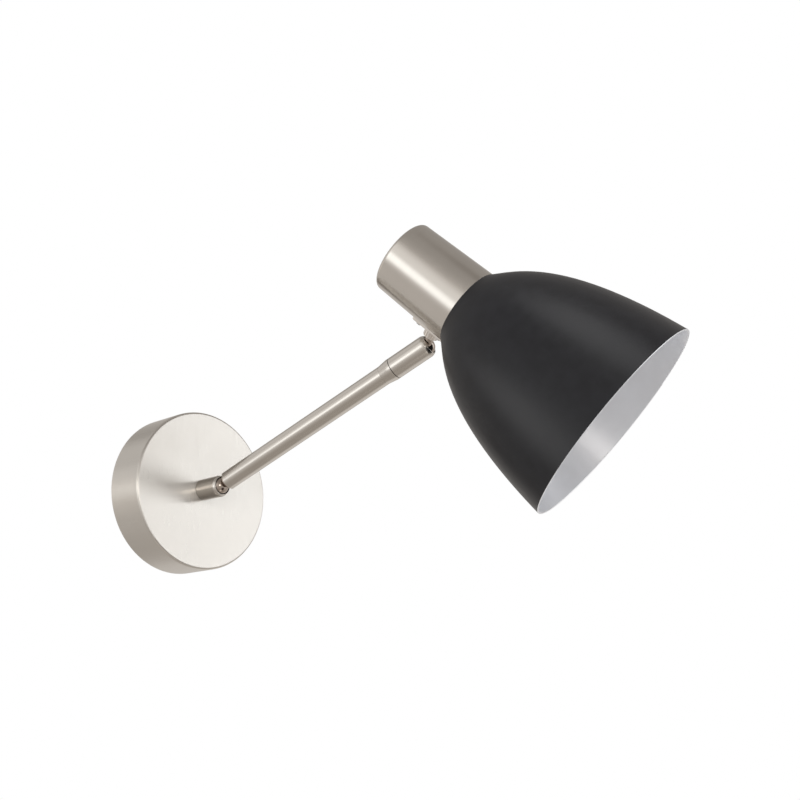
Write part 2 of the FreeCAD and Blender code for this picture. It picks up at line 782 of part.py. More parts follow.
def shade():
    """The spun bell: a flat land with the holder's hole, a round shoulder and a long skirt."""
    neck, shoulder_pole, skirt_pole, rim = bell_curve(0)
    inner_neck, inner_shoulder, inner_skirt, inner_rim = bell_curve(shade_wall)
    outline = Outline(land_radius, 0).line(*neck)
    outline.curve(shoulder_pole, skirt_pole, rim)
    middle = ((rim[0] + inner_rim[0]) / 2, -shade_depth - shade_wall * shade_rim_bulge)
    outline.arc(middle[0], middle[1], *inner_rim)
    outline.curve(inner_skirt, inner_shoulder, inner_neck)
    outline.line(land_radius, -shade_wall)
    return placed(outline.turned(), cup_frame)


def shade_ring():
    """The notched ring that screws up the holder's skirt and clamps the shade."""
    top = -shade_wall
    bottom = top - ring_height
    tapped = holder_sleeve_radius + thread_gap
    outline = Outline(tapped, top).line(ring_radius, top)
    outline.line(ring_radius, bottom + ring_step_height).line(ring_step_radius, bottom + ring_step_height)
    outline.line(ring_step_radius, bottom).line(tapped, bottom)
    notch = rod(ring_notch_radius, bottom - CUT_PAST, top + CUT_PAST).translate(Vector(ring_radius, 0, 0))
    notches = []
    for index in range(ring_notch_count):
        copy = notch.copy()
        copy.rotate(ORIGIN, Z_AXIS, FULL_TURN * index / ring_notch_count)
        notches.append(copy)
    return placed(outline.turned().cut(Part.makeCompound(notches)), cup_frame)


# ---------------------------------------------------------------- wall plate and bracket
def wall_plate():
    """The round canopy, open at the back, with the nipple's hole in its face."""
    face_inner = plate_depth - plate_wall
    hole = nipple_radius + hole_gap
    outline = Outline(plate_radius - plate_wall, 0).line(plate_radius, 0)
    outline.line(plate_radius, plate_depth - plate_edge_round)
    outline.round_in(plate_radius - plate_edge_round, plate_depth)
    outline.line(hole, plate_depth).line(hole, face_inner).line(plate_radius - plate_wall, face_inner)
    return placed(outline.turned(), wall_frame)


def bracket_profile():
    """The hat-shaped section of the wall bracket, as a face in the local XZ plane."""
    half = bracket_span / 2
    thick = bracket_thickness
    front = bracket_rise
    run = foot_inner - bridge_half
    slope = math.atan2(front - thick, run)
    shift = thick * math.tan(slope / 2)
    right = [(half, 0), (half, thick), (foot_inner, thick), (bridge_half, front)]
    back = [(bridge_half - shift, front - thick), (foot_inner - shift, 0)]
    points = right + [(-x, z) for x, z in reversed(right)]
    points += [(-x, z) for x, z in reversed(back)] + back
    vectors = [Vector(x, 0, z) for x, z in points]
    return Part.Face(Part.makePolygon(vectors + [vectors[0]]))


def wall_bracket():
    """The strap screwed to the wall, with lugs for the terminal block and the earth screw."""
    strap = bracket_profile().extrude(Vector(0, bracket_width, 0))
    strap.translate(Vector(0, -bracket_width / 2, 0))
    low = bracket_rise - bracket_thickness
    block_lug = Part.makeBox(block_lug_width, block_lug_reach, bracket_thickness,
                             Vector(-block_lug_width / 2, 0, low))
    earth_lug = Part.makeBox(earth_lug_width, earth_lug_reach, bracket_thickness,
                             Vector(-earth_lug_width / 2, -earth_lug_reach, low))
    bracket = strap.fuse(block_lug).fuse(earth_lug)
    cutters = [rod(nipple_radius + thread_gap, low - CUT_PAST, bracket_rise + CUT_PAST)]
    for side in (-1, 1):
        hole = rod(wall_hole_radius, -CUT_PAST, bracket_thickness + CUT_PAST)
        cutters.append(hole.translate(Vector(side * wall_screw_spacing / 2, 0, 0)))
    for radius, across, height in ((earth_screw_radius, 0, earth_screw_height),
                                   (block_screw_radius, block_screw_across, block_screw_height)):
        hole = rod(radius + thread_gap, low - CUT_PAST, bracket_rise + CUT_PAST)
        cutters.append(hole.translate(Vector(across, height, 0)))
    return placed(bracket.cut(Part.makeCompound(cutters)).removeSplitter(), bracket_frame)


earth_screw_height = -(bracket_width / 2 + earth_lug_reach) / 2
block_screw_across = block_pole_pitch / 2
block_screw_height = block_bottom + block_length / 2
# Local X to the viewer's right, local Y up, local Z out of the wall.
bracket_frame = frame_at(ORIGIN, out_of_wall, X_AXIS)


def wall_nipple():
    """The hollow threaded nipple from behind the bracket to the socket's foot."""
    low = bracket_rise - bracket_thickness - wall_nipple_tail
    high = plate_depth + socket_floor
    return placed(ring_solid(nipple_radius, nipple_bore_radius, low, high), wall_frame)


def bracket_nuts():
    """One nut on each side of the bracket's bridge."""
    behind = bracket_rise - bracket_thickness - wall_nut_height
    nuts = [hex_nut(wall_nut_flats, nipple_radius, low, wall_nut_height)
            for low in (behind, bracket_rise)]
    return placed(Part.makeCompound(nuts), wall_frame)


def pole_stations():
    """The middle of each pole of the terminal block, across the block."""
    first = -block_pole_pitch * (block_pole_count - 1) / 2
    return [first + block_pole_pitch * index for index in range(block_pole_count)]


terminal_height = bracket_rise + terminal_cover + terminal_radius
screw_rows = (block_bottom + terminal_screw_inset, block_bottom + block_length - terminal_screw_inset)


def terminal_block():
    """The moulded block: a base with a tower for each screw, bored for terminals and fixing."""
    width = block_pole_pitch * block_pole_count
    base = Part.makeBox(width, block_length, block_shoulder,
                        Vector(-width / 2, block_bottom, bracket_rise))
    block = base
    cutters = []
    for station in pole_stations():
        for row in screw_rows:
            tower = Part.makeCylinder(block_tower_width / 2, block_height,
                                      Vector(station, row, bracket_rise))
            block = block.fuse(tower)
            shaft = Part.makeCylinder(terminal_screw_radius + hole_gap, block_height,
                                      Vector(station, row, terminal_height))
            cutters.append(shaft)
        channel = Part.makeCylinder(terminal_radius, block_length + 2 * CUT_PAST,
                                    Vector(station, block_bottom - CUT_PAST, terminal_height), Y_AXIS)
        cutters.append(channel)
    fixing = Part.makeCylinder(block_screw_radius + hole_gap, block_height,
                               Vector(block_screw_across, block_screw_height, bracket_rise))
    cutters.append(fixing)
    return placed(block.cut(Part.makeCompound(cutters)).removeSplitter(), bracket_frame)


def terminal_tubes():
    """The brass tube of each pole, tapped for its two screws."""
    length = block_length - 2 * terminal_inset
    tubes = []
    for station in pole_stations():
        start = Vector(station, block_bottom + terminal_inset, terminal_height)
        tube = Part.makeCylinder(terminal_radius - seating_gap, length, start, Y_AXIS)
        bore = Part.makeCylinder(terminal_bore_radius, length + 2 * CUT_PAST,
                                 start - Y_AXIS * CUT_PAST, Y_AXIS)
        tube = tube.cut(bore)
        for row in screw_rows:
            tap = Part.makeCylinder(terminal_screw_radius + thread_gap, block_height,
                                    Vector(station, row, terminal_height))
            tube = tube.cut(tap)
        tubes.append(tube)
    return placed(Part.makeCompound(tubes), bracket_frame)


def terminal_screws():
    """The slotted grub screws that clamp the wires."""
    low = terminal_height + wire_radius + seating_gap
    high = bracket_rise + block_height - terminal_inset
    screws = []
    for station in pole_stations():
        for row in screw_rows:
            screw = Part.makeCylinder(terminal_screw_radius, high - low, Vector(station, row, low))
            slot = Part.makeBox(2 * terminal_screw_radius, terminal_screw_radius / 2, terminal_inset,
                                Vector(station - terminal_screw_radius, row - terminal_screw_radius / 4,
                                       high - terminal_inset))
            screws.append(screw.cut(slot))
    return placed(Part.makeCompound(screws), bracket_frame)


def headed_screw(radius, head_radius, head_height, low, seat):
    """A slotted cheese-head screw about local Z, its head on the face at height seat."""
    screw = rod(radius, low, seat).fuse(rod(head_radius, seat, seat + head_height))
    slot = Part.makeBox(2 * head_radius, head_height / 2, head_height / 2,
                        Vector(-head_radius, -head_height / 4, seat + head_height / 2))
    return screw.cut(slot)


def block_screw():
    """The screw that fixes the terminal block to its lug."""
    low = bracket_rise - bracket_thickness
    screw = headed_screw(block_screw_radius, block_screw_head_radius, block_screw_head_height,
                         low, bracket_rise + block_shoulder)
    return placed(screw.translate(Vector(block_screw_across, block_screw_height, 0)), bracket_frame)


def earth_screw():
    """The earth screw, through its washer into the lug."""
    seat = bracket_rise + earth_washer_thickness
    screw = headed_screw(earth_screw_radius, earth_head_radius, earth_head_height,
                         seat - earth_screw_length, seat)
    return placed(screw.translate(Vector(0, earth_screw_height, 0)), bracket_frame)


def earth_washer():
    """The plain washer under the earth screw's head."""
    washer = ring_solid(earth_washer_radius, earth_screw_radius + seating_gap,
                        bracket_rise, bracket_rise + earth_washer_thickness)
    return placed(washer.translate(Vector(0, earth_screw_height, 0)), bracket_frame)


def canopy_wires():
    """The wire pair from the terminals, round behind the bridge and into the nipple."""
    behind = (bracket_rise - bracket_thickness - wall_nipple_tail) / 2
    front_end = plate_depth + wall_socket_depth - ball_radius - wire_ball_gap
    gap_middle = (bracket_width / 2 + block_bottom) / 2

    def route(side):
        across = side * block_pole_pitch
        half = side * wire_spacing / 2
        outside = side * (block_lug_width / 2 + 2 * wire_radius)
        return [Vector(across, screw_rows[0] + wire_radius, terminal_height),
                Vector(across, gap_middle, terminal_height),
                Vector(outside, gap_middle, behind),
                Vector(half, 0, behind),
                Vector(half, 0, front_end)]

    return placed(wire_pair(route), bracket_frame)


PARTS = {
    "wall_plate": wall_plate,
    "wall_bracket": wall_bracket,
    "wall_nipple": wall_nipple,
    "bracket_nuts": bracket_nuts,
    "terminal_block": terminal_block,
    "terminal_tubes": terminal_tubes,
    "terminal_screws": terminal_screws,
    "block_screw": block_screw,
    "earth_screw": earth_screw,
    "earth_washer": earth_washer,
    "canopy_wires": canopy_wires,
    "wall_socket": wall_socket,
    "wall_disc_springs": lambda: placed(disc_springs(), wall_joint_frame),
    "wall_friction_seat": lambda: placed(friction_seat(), wall_joint_frame),
    "arm_ball": arm_ball,
    "arm_end_bush": arm_end_bush,
    "arm_tube": arm_tube,
    "arm_taper_sleeve": arm_taper_sleeve,
    "arm_wires": arm_wires,
    "head_socket": head_socket,
    "head_disc_springs": lambda: placed(disc_springs(), arm_tip_frame),
    "head_friction_seat": lambda: placed(friction_seat(), arm_tip_frame),
    "head_ball": head_ball,
    "stem_collar_nut": stem_collar_nut,
    "stem_nut": stem_nut,
    "stem_wires": stem_wires,
    "saddle_plate": saddle_plate,
    "saddle_screws": saddle_screws,
    "holder_cup": holder_cup,
    "holder_bracket": holder_bracket,
    "holder_nipple": holder_nipple,
    "holder_locknut": holder_locknut,
    "lampholder_body": lampholder_body,
    "lampholder_cap": lampholder_cap,
    "holder_insert": holder_insert,
    "holder_terminals": holder_terminals,
    "screw_shell": screw_shell,
    "lamp_contact": lamp_contact,
    "cup_wires": cup_wires,
    "shade_ring": shade_ring,
    "shade": shade,
}

for name, build in PARTS.items():
    solid = build()
    solid.exportStep(os.path.join("parts", name + ".step"))
    print(name, len(solid.Solids), round(solid.Volume, 1), solid.isValid())
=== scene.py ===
"""Looks of the articulating wall lamp: satin nickel, black lacquer, the small pieces inside,
and a plain white studio with the photograph's camera. Metres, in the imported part's frame."""
import json
import math
from functools import partial

import bpy
from mathutils import Matrix, Vector


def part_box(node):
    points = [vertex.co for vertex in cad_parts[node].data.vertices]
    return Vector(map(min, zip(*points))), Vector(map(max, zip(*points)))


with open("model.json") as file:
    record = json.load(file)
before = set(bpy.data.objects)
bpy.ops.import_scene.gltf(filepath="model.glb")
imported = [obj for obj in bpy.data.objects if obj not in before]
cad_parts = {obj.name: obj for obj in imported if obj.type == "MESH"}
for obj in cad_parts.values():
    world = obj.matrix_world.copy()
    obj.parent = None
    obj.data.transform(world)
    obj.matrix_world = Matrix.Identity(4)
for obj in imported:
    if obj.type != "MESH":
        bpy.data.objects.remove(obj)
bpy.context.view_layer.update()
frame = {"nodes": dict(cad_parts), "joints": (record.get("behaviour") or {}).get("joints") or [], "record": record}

# ---------------------------------------------------------------- camera (photograph's view)
CAMERA_PLACE = Vector((-0.43473, -0.59017, -0.15301))
CAMERA_AZIMUTH = math.radians(47.889)      # from +Y towards +X
CAMERA_ELEVATION = math.radians(16.958)
CAMERA_LENS = 50.0                         # millimetres
CAMERA_SENSOR = 36.0
CAMERA_NEAREST = 0.01
CAMERA_FARTHEST = 50.0

# ---------------------------------------------------------------- studio
WHITE = (1, 1, 1)
FLOOR_DROP = 0.9            # floor below the wall plate's centre
FLOOR_SIZE = 5.0
FLOOR_COLOUR = (0.92, 0.92, 0.92)
FLOOR_ROUGHNESS = 0.9
AMBIENT_LEVEL = 0.72
STUDIO_GREY = (0.62, 0.585, 0.55)
STUDIO_TOP = (0.40, 0.375, 0.35)
STUDIO_BOTTOM = (0.44, 0.40, 0.36)
PLATE_MIRROR = (37, 11)     # azimuth and elevation that the plate's face mirrors to the camera
FILL_DISTANCE = 0.085       # from the shade's middle back to the lamp that fills the plate
KEY_DISTANCE = 1.6
SHEEN_DISTANCE = 0.7
SHEEN_SIZE = 0.42

# ---------------------------------------------------------------- colours
NICKEL = (0.66, 0.63, 0.59)
# Painted light: a lighter copy of the nickel on the wall plate, so its face renders brighter.
LIGHTENED_PLATE_NICKEL = (0.75, 0.725, 0.685)
# Painted light: a lighter copy of the nickel, on the saddle plate and the collar nut.
LIGHTENED_NICKEL = (0.90, 0.865, 0.83)
# Painted shade: a darker copy of the nickel on the two balls, for the dark surroundings that they mirror.
DARKENED_POLISHED_NICKEL = (0.45, 0.39, 0.345)
ZINC = (0.60, 0.61, 0.62)
SPRING_STEEL = (0.30, 0.30, 0.32)
BRASS = (0.80, 0.62, 0.32)
# Painted shade: the dark colour drawn in the sockets' bores behind their lips and in the line at a socket's foot.
SOCKET_SHADE = (0.035, 0.03, 0.026)
LACQUER = (0.0095, 0.0095, 0.011)
SHADE_INSIDE = (0.85, 0.86, 0.89)
HOLDER_WHITE = (0.80, 0.79, 0.76)
INSERT_CREAM = (0.74, 0.70, 0.62)
TERMINAL_WHITE = (0.76, 0.75, 0.72)
SEAT_GREY = (0.045, 0.045, 0.05)
INSULATION = (0.70, 0.69, 0.67)

# ---------------------------------------------------------------- surfaces
WELD_DISTANCE = 0.000002
SHARP_ANGLE = math.radians(28)      # a node's real edges turn by more than this
EDGE_ROUND = 0.0002                 # softened edge of a plated piece
LIP_ROUND = 0.0004                  # softened edge of a socket's crimped lip
BRIGHT_LIP = 0.00015                # depth of the lip that stays plated before the painted shade in the bore begins
# Half width of the painted shade line at a socket's foot, where it meets the next part.
FOOT_SHADE_HALF_WIDTH = 0.0003
THREAD_PITCH = 0.001
THREAD_RELIEF = 0.0001
GRAIN_ACROSS = 7500.0               # noise per metre across the brushed lines
GRAIN_ALONG = 60.0                  # and along them
GRAIN_GLOSS = 0.035                 # how far the grain moves the roughness each way
CLOUD_SCALE = 45.0
CLOUD_DEPTH = 0.045
CLOUD_GLOSS = 0.015
# The painted shade in a socket's bore starts where its walls face inwards:
BORE_FACING = (-0.5, -0.3)          # a bore's walls face this far inwards, blended over a range
LINING_TURN = 3.0                   # the lining starts where the rim begins to turn forward
LINING_METAL = 0.55                 # metallic share of the silver-grey lining
LINING_SHADE = 0.97                 # darkest tone of the lining
LACQUER_DUST = 1.35                 # lightest tone of the lacquer

nodes = frame["nodes"]
joints = {joint["name"]: joint for joint in frame["joints"]}
mounts = {mount["name"]: mount for mount in frame["record"]["mounts"]}


# ---------------------------------------------------------------- places on the lamp
def place_of(origin, axis):
    """A local frame on the lamp: its Z is the given axis."""
    turn = Vector(axis).to_track_quat("Z", "Y").to_matrix().to_4x4()
    return Matrix.Translation(Vector(origin)) @ turn


WALL = place_of((0, 0, 0), (0, -1, 0))
ARM = place_of(joints["wall_tilt"]["pos_m"], joints["head_swivel"]["axis"])
STEM = place_of(joints["shade_turn"]["pos_m"], joints["shade_turn"]["axis"])
HEAD = place_of(mounts["lamp_socket"]["pos_m"], mounts["lamp_socket"]["axis"])
PLACES = {"wall": WALL, "arm": ARM, "stem": STEM, "head": HEAD}


def reach_of(node, place):
    """Where a CAD node starts and ends along a place's axis."""
    inverse = place.inverted()
    heights = [(inverse @ vertex.co).z for vertex in nodes[node].data.vertices]
    return min(heights), max(heights)


def towards(azimuth, elevation):
    """A unit vector; azimuth 0 is out of the wall and 90 is +X, in degrees."""
    turn = math.radians(azimuth)
    lift = math.radians(elevation)
    level = math.cos(lift)
    return Vector((math.sin(turn) * level, -math.cos(turn) * level, math.sin(lift)))


# ---------------------------------------------------------------- shader nodes
def toned(colour, factor):
    """A colour made lighter or darker."""
    return tuple(channel * factor for channel in colour)


def feed(tree, socket, value):
    """Gives a socket a number, a vector, a colour or another node's output."""
    if isinstance(value, bpy.types.NodeSocket):
        tree.links.new(value, socket)
    elif socket.type == "RGBA":
        socket.default_value = value + (1,)
    else:
        socket.default_value = value


def colour_socket(sockets, name):
    """The socket of a mix node that takes or gives a colour; others share its name."""
    return next(socket for socket in sockets if socket.name == name and socket.type == "RGBA")


def mix_colours(tree, factor, first, second):
    """The first colour where the factor is 0, and the second where it is 1."""
    node = tree.nodes.new("ShaderNodeMix")
    node.data_type = "RGBA"
    feed(tree, node.inputs["Factor"], factor)
    feed(tree, colour_socket(node.inputs, "A"), first)
    feed(tree, colour_socket(node.inputs, "B"), second)
    return colour_socket(node.outputs, "Result")


class Finish:
    """A procedural material that is being put together."""

    def __init__(self, name, place, edge_round=0.0):
        self.material = bpy.data.materials.new(name)
        self.material.use_nodes = True
        self.tree = self.material.node_tree
        self.shader = self.tree.nodes["Principled BSDF"]
        self.place = place
        self.edge_round = edge_round
        coordinates = self.add("ShaderNodeTexCoord")
        self.local = self.into_place(coordinates.outputs["Object"], place.to_translation())
        self.normal = self.into_place(coordinates.outputs["Normal"], (0, 0, 0))

    def add(self, kind, **settings):
        """A new node with some of its settings."""
        node = self.tree.nodes.new(kind)
        for name, value in settings.items():
            setattr(node, name, value)
        return node

    def set(self, **values):
        """Sets the shader's inputs, each to a value or to another node's output."""
        for name, value in values.items():
            feed(self.tree, self.shader.inputs[name.replace("_", " ")], value)

    def into_place(self, vector, origin):
        """A vector of the piece, measured in the place's own frame."""
        mapping = self.add("ShaderNodeMapping", vector_type="TEXTURE")
        mapping.inputs["Location"].default_value = origin
        mapping.inputs["Rotation"].default_value = self.place.to_euler()
        feed(self.tree, mapping.inputs["Vector"], vector)
        return mapping.outputs["Vector"]

    def math(self, operation, *values):
        """A number worked out from one or two others."""
        node = self.add("ShaderNodeMath", operation=operation)
        for socket, value in zip(node.inputs, values):
            feed(self.tree, socket, value)
        return node.outputs["Value"]

    def vector_math(self, operation, *values, output="Vector"):
        """A vector, or with output a number, worked out from one or two vectors."""
        node = self.add("ShaderNodeVectorMath", operation=operation)
        for socket, value in zip(node.inputs, values):
            feed(self.tree, socket, value)
        return node.outputs[output]

    def height(self, vector):
        """The part of a vector that lies along the place's axis."""
        split = self.add("ShaderNodeSeparateXYZ")
        feed(self.tree, split.inputs["Vector"], vector)
        return split.outputs["Z"]

    def outward(self):
        """1 where the surface faces away from the place's axis, and -1 in a bore."""
        flat = self.vector_math("MULTIPLY", self.local, (1, 1, 0))
        away = self.vector_math("NORMALIZE", flat)
        return self.vector_math("DOT_PRODUCT", self.normal, away, output="Value")

    def noise(self, scale, detail=2.0):
        """Noise along the place's axes; scale is one number, or one for each axis."""
        scales = scale if isinstance(scale, tuple) else (scale,) * 3
        node = self.add("ShaderNodeTexNoise")
        node.inputs["Scale"].default_value = 1.0
        node.inputs["Detail"].default_value = detail
        feed(self.tree, node.inputs["Vector"], self.vector_math("MULTIPLY", self.local, scales))
        return node.outputs["Fac"]

    def spread(self, factor, low, high, start=0.3, end=0.7):
        """The factor's range from start to end, stretched to run from low to high."""
        node = self.add("ShaderNodeMapRange")
        node.inputs["From Min"].default_value = start
        node.inputs["From Max"].default_value = end
        node.inputs["To Min"].default_value = low
        node.inputs["To Max"].default_value = high
        feed(self.tree, node.inputs["Value"], factor)
        return node.outputs["Result"]

    def shaded(self, colour, factor, depth):
        """Colours the surface, darker by up to depth where the factor is low."""
        strength = self.spread(factor, 0.0, 1.0)
        shaded = mix_colours(self.tree, strength, toned(colour, 1 - depth), colour)
        self.set(Base_Color=shaded)
        return shaded

    def bump(self, height, distance):
        """A fine relief, up to distance deep, on the surface and its softened edges."""
        node = self.add("ShaderNodeBump")
        node.inputs["Strength"].default_value = 1.0
        node.inputs["Distance"].default_value = distance
        feed(self.tree, node.inputs["Height"], height)
        if self.edge_round:
            edge = self.add("ShaderNodeBevel", samples=4)
            edge.inputs["Radius"].default_value = self.edge_round
            feed(self.tree, node.inputs["Normal"], edge.outputs["Normal"])
        self.set(Normal=node.outputs["Normal"])

    def smear_along(self, direction):
        """Stretches the gloss along a direction of the place, across the brushed grain."""
        turned = self.add("ShaderNodeVectorTransform", vector_type="VECTOR",
                          convert_from="OBJECT", convert_to="WORLD")
        turned.inputs["Vector"].default_value = self.place.to_3x3() @ Vector(direction)
        self.set(Tangent=turned.outputs["Vector"])


# ---------------------------------------------------------------- brushed nickel
def brushed_nickel(name, place, colour=NICKEL, edge_round=EDGE_ROUND, grain_scale=None,
                   smear=(0, 0, 1), anisotropy=0.4, roughness=0.22, relief=0.000001):
    """Satin nickel plate, brushed round the place's axis unless a grain is given.

    Returns the finish and its colour, for what is drawn over them.
    """
    finish = Finish(name, place, edge_round)
    finish.set(Metallic=1.0, Anisotropic=anisotropy)
    finish.smear_along(smear)
    grain = finish.noise(grain_scale or (GRAIN_ALONG, GRAIN_ALONG, GRAIN_ACROSS), detail=4.0)
    clouds = finish.noise(CLOUD_SCALE, detail=3.0)
    plated = finish.shaded(colour, clouds, CLOUD_DEPTH)
    lines = finish.spread(grain, roughness - GRAIN_GLOSS, roughness + GRAIN_GLOSS)
    patches = finish.spread(clouds, -CLOUD_GLOSS, CLOUD_GLOSS)
    finish.set(Roughness=finish.math("ADD", lines, patches))
    finish.bump(grain, relief)
    return finish, plated


def turned_nickel(name, place, colour=NICKEL):
    """Satin nickel on a turned piece."""
    finish, _ = brushed_nickel(name, place, colour)
    return finish.material


def plate_nickel(name, place):
    """Satin nickel on the wall plate, in a lighter copy of the nickel that is painted light: upright lines on its
    face, so the gloss spreads sideways.
    """
    finish, _ = brushed_nickel(name, place, LIGHTENED_PLATE_NICKEL, smear=(1, 0, 1), anisotropy=1.0,
                               grain_scale=(GRAIN_ACROSS, GRAIN_ALONG, GRAIN_ALONG),
                               roughness=0.31, relief=0.0000004)
    return finish.material


def socket_nickel(name, place):
    """Satin nickel with a painted shade line at the socket's foot, and painted shade in the bore behind its lip.
    """
    foot, lip = reach_of("wall_socket" if place is WALL else "head_socket", place)
    finish, plated = brushed_nickel(name, place, edge_round=LIP_ROUND)
    height = finish.height(finish.local)
    # Painted shade: a thin dark line at the socket's foot, like the shadow in a gap between the parts.
    from_foot = finish.math("ABSOLUTE", finish.math("SUBTRACT", height, foot))
    foot_shade_line = finish.spread(from_foot, 1.0, 0.0, start=FOOT_SHADE_HALF_WIDTH / 2, end=FOOT_SHADE_HALF_WIDTH)
    start, end = BORE_FACING
    # Painted shade on the inward-facing walls behind the lip, where the ball sits in shade.
    inward = finish.spread(finish.outward(), 1.0, 0.0, start, end)
    behind_lip = finish.math("LESS_THAN", height, lip - BRIGHT_LIP)
    # The painted shade: the line at the foot, and the bore behind the lip.
    painted_shade = finish.math("MAXIMUM", foot_shade_line, finish.math("MULTIPLY", inward, behind_lip))
    finish.set(Base_Color=mix_colours(finish.tree, painted_shade, plated, SOCKET_SHADE))
    return finish.material


# ---------------------------------------------------------------- other metals and plastics
def mottled(name, place, colour, scale, detail, depth, roughness, relief, metallic=0.0,
            pattern=None):
    """A finish whose tone, gloss and relief follow one noise.

    depth is how much darker it gets, roughness its lowest and highest value, and relief its
    height in metres. pattern draws another relief on the finish.
    """
    finish = Finish(name, place)
    finish.set(Metallic=metallic)
    marks = finish.noise(scale, detail)
    finish.shaded(colour, marks, depth)
    finish.set(Roughness=finish.spread(marks, *roughness))
    finish.bump(pattern(finish) if pattern else marks, relief)
    return finish.material


def polished_nickel(name, place):
    """Polished plate with faint handling marks, in a darker copy of the nickel: painted shade."""
    return mottled(name, place, DARKENED_POLISHED_NICKEL, scale=(900.0, 900.0, 260.0), detail=3.0,
                   depth=0.05, roughness=(0.07, 0.14), relief=0.000002, metallic=1.0)


def zinc_steel(name, place, relief=0.00001, pattern=None):
    """Bright zinc plate with soft blotches."""
    return mottled(name, place, ZINC, scale=700.0, detail=3.0, depth=0.22,
                   roughness=(0.26, 0.42), relief=relief, metallic=1.0, pattern=pattern)


def thread_ridges(finish):
    """A wave along the place's axis at the thread's pitch."""
    turns = finish.math("MULTIPLY", finish.height(finish.local), 2 * math.pi / THREAD_PITCH)
    return finish.math("SINE", turns)


def spring_steel(name, place):
    """Blued steel with rolling marks."""
    return mottled(name, place, SPRING_STEEL, scale=(300.0, 2600.0, 300.0), detail=3.0,
                   depth=0.3, roughness=(0.28, 0.45), relief=0.000004, metallic=1.0)


def plain_brass(name, place):
    """Drawn brass, a little dull in patches, with fine drawing marks round the axis."""
    return mottled(name, place, BRASS, scale=420.0, detail=4.0, depth=0.25,
                   roughness=(0.2, 0.42), relief=0.000004, metallic=1.0,
                   pattern=lambda finish: finish.noise((500.0, 500.0, 3000.0)))


def moulded(name, place, colour, roughness):
    """Moulded plastic with flow clouding and a fine mould texture."""
    return mottled(name, place, colour, scale=160.0, detail=3.0, depth=0.06,
                   roughness=(roughness - 0.05, roughness + 0.05), relief=0.000012,
                   pattern=lambda finish: finish.noise(4200.0))


def insulation(name, place):
    """Soft wire insulation with a dull, slightly dragged surface."""
    return mottled(name, place, INSULATION, scale=(900.0, 900.0, 240.0), detail=3.0,
                   depth=0.12, roughness=(0.45, 0.6), relief=0.00002)


def shade_lacquer(name, place):
    """Satin black lacquer outside and light grey paint inside, by which way the wall faces."""
    finish = Finish(name, place)
    forward = finish.math("MULTIPLY", finish.height(finish.normal), LINING_TURN)
    lining = finish.math("LESS_THAN", finish.outward(), forward)
    peel = finish.noise(900.0)
    dust = finish.noise(140.0, detail=5.0)
    mottle = finish.spread(dust, 0.0, 1.0)
    outside = mix_colours(finish.tree, mottle, LACQUER, toned(LACQUER, LACQUER_DUST))
    inside = mix_colours(finish.tree, mottle, toned(SHADE_INSIDE, LINING_SHADE), SHADE_INSIDE)
    finish.set(Base_Color=mix_colours(finish.tree, lining, outside, inside),
               Roughness=finish.spread(dust, 0.38, 0.44),
               Metallic=finish.math("MULTIPLY", lining, LINING_METAL),
               Specular_IOR_Level=0.2, Anisotropic=0.5)
    finish.smear_along((0, 0, 1))
    finish.bump(peel, 0.000008)
    return finish.material


# ---------------------------------------------------------------- finishes on the CAD nodes
# Each finish's name, its maker, and its nodes with the place that each one is turned about.
FINISHES = (
    ("nickel", turned_nickel, {"arm_tube": "arm", "holder_cup": "head"}),
    ("socket", socket_nickel,
     {"wall_socket": "wall", "arm_taper_sleeve": "arm", "head_socket": "arm"}),
    # Painted light: the saddle plate and collar nut wear the lighter copy of the nickel.
    ("bright", partial(turned_nickel, colour=LIGHTENED_NICKEL),
     {"saddle_plate": "head", "stem_collar_nut": "stem"}),
    ("polished", polished_nickel, {"arm_ball": "arm", "head_ball": "stem"}),
    ("zinc", zinc_steel,
     {"wall_bracket": "wall", "bracket_nuts": "wall", "terminal_screws": "wall",
      "block_screw": "wall", "arm_end_bush": "arm", "saddle_screws": "stem",
      "stem_nut": "stem", "holder_bracket": "head", "holder_locknut": "head"}),
    ("threaded", partial(zinc_steel, relief=THREAD_RELIEF, pattern=thread_ridges),
     {"wall_nipple": "wall", "holder_nipple": "head"}),
    ("spring", spring_steel, {"wall_disc_springs": "wall", "head_disc_springs": "arm"}),
    ("brass", plain_brass,
     {"terminal_tubes": "wall", "earth_screw": "wall", "earth_washer": "wall",
      "holder_terminals": "head", "screw_shell": "head", "lamp_contact": "head"}),
    ("wire", insulation,
     {"canopy_wires": "wall", "arm_wires": "arm", "stem_wires": "stem", "cup_wires": "head"}),
    ("seat", partial(moulded, colour=SEAT_GREY, roughness=0.5),
     {"wall_friction_seat": "wall", "head_friction_seat": "arm"}),
    ("holder", partial(moulded, colour=HOLDER_WHITE, roughness=0.28),
     {"lampholder_body": "head", "lampholder_cap": "head", "shade_ring": "head"}),
)


def dress(node, material):
    """Gives a CAD node one material."""
    mesh = nodes[node].data
    mesh.materials.clear()
    mesh.materials.append(material)


def dress_all():
    """One material for each finish and local frame, shared by the nodes that have both."""
    dress("wall_plate", plate_nickel("nickel_plate_face", WALL))
    dress("shade", shade_lacquer("black_lacquer", HEAD))
    dress("holder_insert", moulded("insert_cream", HEAD, INSERT_CREAM, 0.55))
    dress("terminal_block", moulded("terminal_white", WALL, TERMINAL_WHITE, 0.5))
    for finish_name, make, members in FINISHES:
        for place_name in sorted(set(members.values())):
            material = make(finish_name + "_" + place_name, PLACES[place_name])
            for node, where in members.items():
                if where == place_name:
                    dress(node, material)


